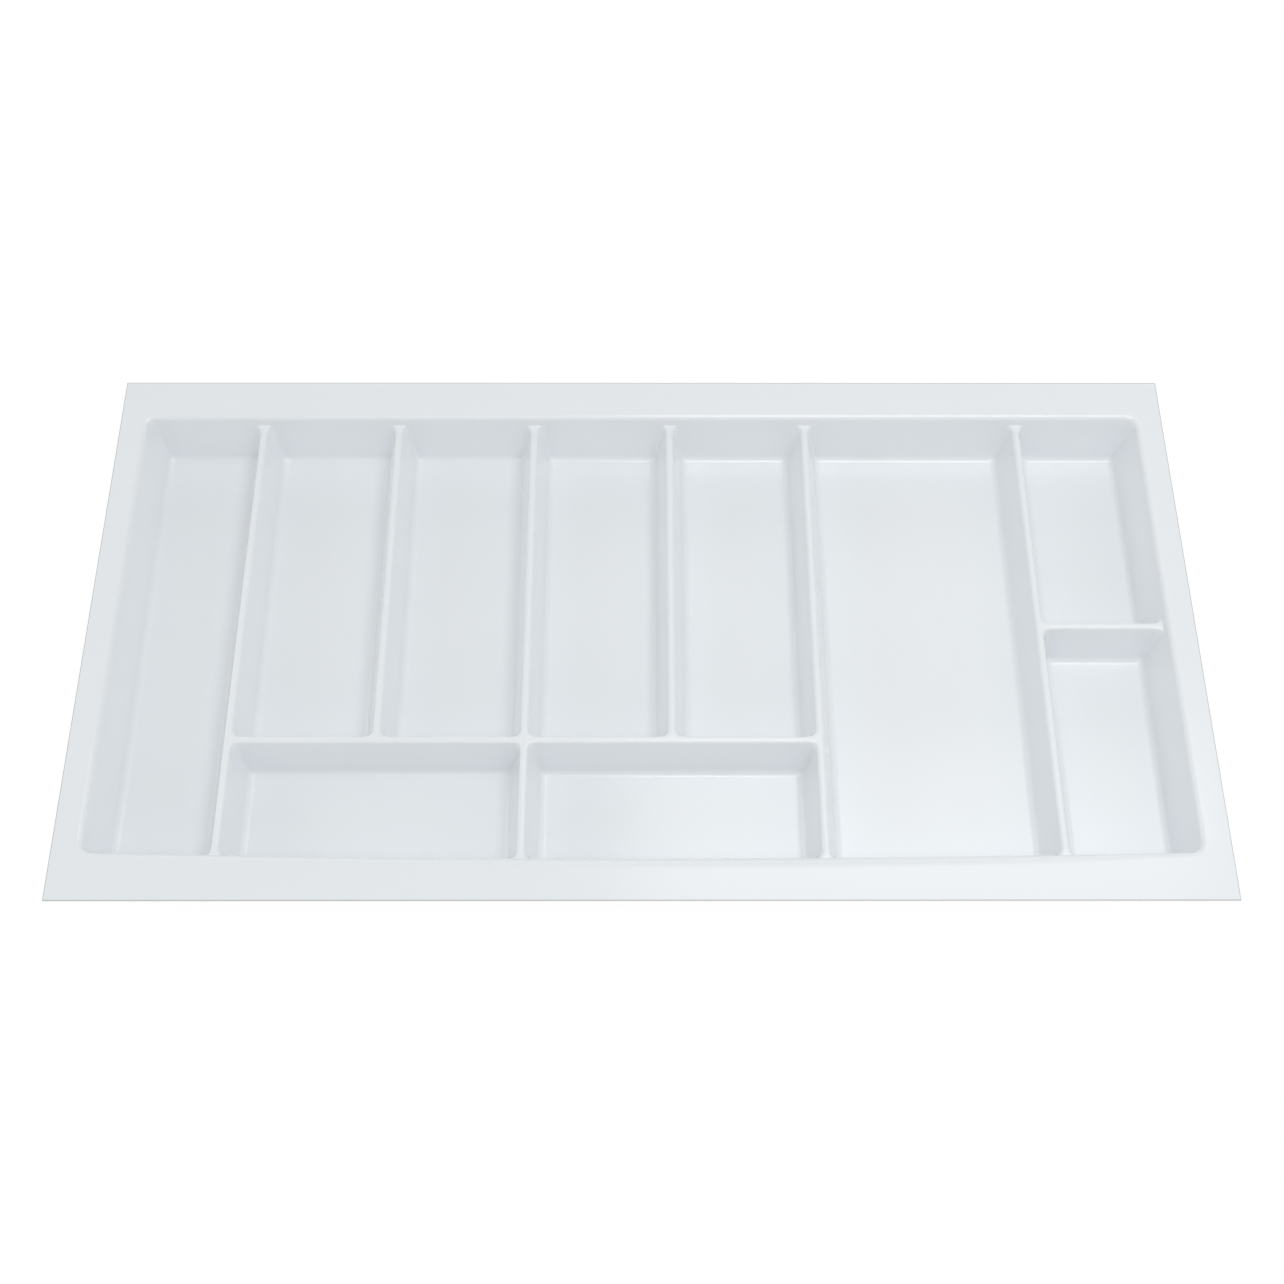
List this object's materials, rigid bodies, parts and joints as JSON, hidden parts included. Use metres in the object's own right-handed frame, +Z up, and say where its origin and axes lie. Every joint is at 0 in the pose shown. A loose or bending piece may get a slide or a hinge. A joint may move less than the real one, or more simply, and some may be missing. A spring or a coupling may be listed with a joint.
{
  "type": "cutlery tray",
  "caption": "Shallow drawer insert formed from one plastic sheet: a wide flat rim, sloping walls and low hollow dividers that sort cutlery into long, short and wide compartments.",
  "frame": {"origin": "centre of the footprint, on the plane of the undersides of the floors", "axes": "+X along the width to the right as seen from the front of the drawer, -Y to the front of the drawer, +Z up"},
  "size_m": [0.93, 0.49, 0.05],
  "materials": {
    "formed_sheet": "cool white sheet with a fine embossed grain and a satin sheen"
  },
  "bodies": {
    "root": {"formed_tray": "formed_sheet"}
  },
  "joints": []
}
